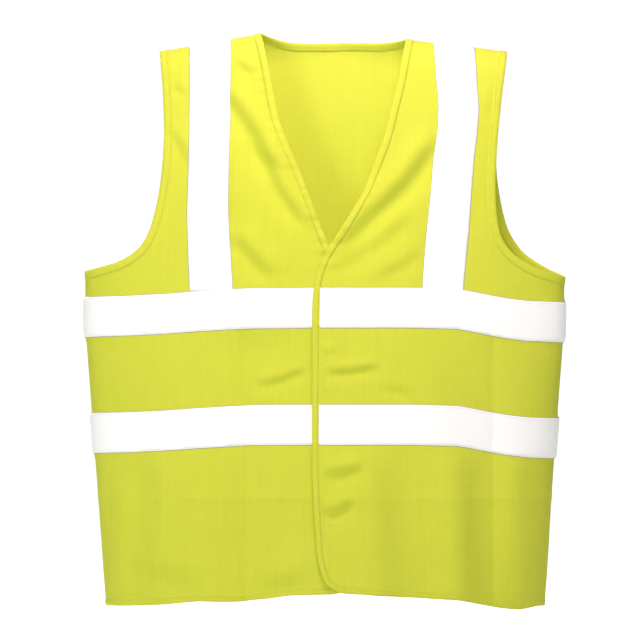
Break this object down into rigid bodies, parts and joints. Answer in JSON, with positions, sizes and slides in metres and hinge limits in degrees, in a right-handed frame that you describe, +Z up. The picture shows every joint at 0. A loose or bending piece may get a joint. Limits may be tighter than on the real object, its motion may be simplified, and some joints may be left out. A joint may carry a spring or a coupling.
{
  "type": "high visibility vest",
  "caption": "Sleeveless V-neck safety vest of bright yellow cloth with reflective bands round the body, a brace over each shoulder and overlapping fronts that open.",
  "frame": {"origin": "midway between the two points where the neckline crosses the shoulder line", "axes": "+X to the wearer's left, +Y to the wearer's back, +Z up"},
  "size_m": [0.6076, 0.2319, 0.7178],
  "materials": {
    "cloth": "knitted polyester, fluorescent yellow",
    "binding": "folded polyester binding, stitched",
    "seams": "folded seam allowance, overlocked",
    "reflective_tape": "glass-bead reflective tape",
    "hook": "hook side of a touch fastener",
    "loop": "loop side of a touch fastener",
    "label": "satin, blank"
  },
  "bodies": {
    "back_and_sides": {"back_panel": "cloth", "left_front_side": "cloth", "right_front_side": "cloth", "left_front_upper_band_side": "reflective_tape", "left_front_lower_band_side": "reflective_tape", "right_front_upper_band_side": "reflective_tape", "right_front_lower_band_side": "reflective_tape", "back_upper_band": "reflective_tape", "back_lower_band": "reflective_tape", "left_front_brace": "reflective_tape", "left_back_brace": "reflective_tape", "right_front_brace": "reflective_tape", "right_back_brace": "reflective_tape", "left_front_hem_binding": "binding", "right_front_hem_binding": "binding", "back_hem_binding": "binding", "neck_binding": "binding", "left_armhole_binding": "binding", "right_armhole_binding": "binding", "left_shoulder_seam": "seams", "right_shoulder_seam": "seams", "left_side_seam": "seams", "right_side_seam": "seams", "care_label": "label"},
    "left_front": {"left_front_flap": "cloth", "left_front_binding": "binding", "left_front_upper_band_flap": "reflective_tape", "left_front_lower_band_flap": "reflective_tape", "hook_tabs": "hook"},
    "right_front": {"right_front_flap": "cloth", "right_front_binding": "binding", "right_front_upper_band_flap": "reflective_tape", "right_front_lower_band_flap": "reflective_tape", "loop_tabs": "loop"}
  },
  "joints": [
    {"name": "left_front_fold", "type": "hinge", "parent": "back_and_sides", "child": "left_front", "pos_m": [0.12015, -0.0667, -0.372], "axis": [-0.0575, 0.1023, 0.9931], "range_deg": [0, 110]},
    {"name": "right_front_fold", "type": "hinge", "parent": "back_and_sides", "child": "right_front", "pos_m": [-0.12015, -0.06125, -0.372], "axis": [-0.0575, -0.1031, -0.993], "range_deg": [0, 55]}
  ],
  "couplings": [
    {"joint": "right_front_fold", "follows": "left_front_fold", "ratio": 0.5}
  ]
}
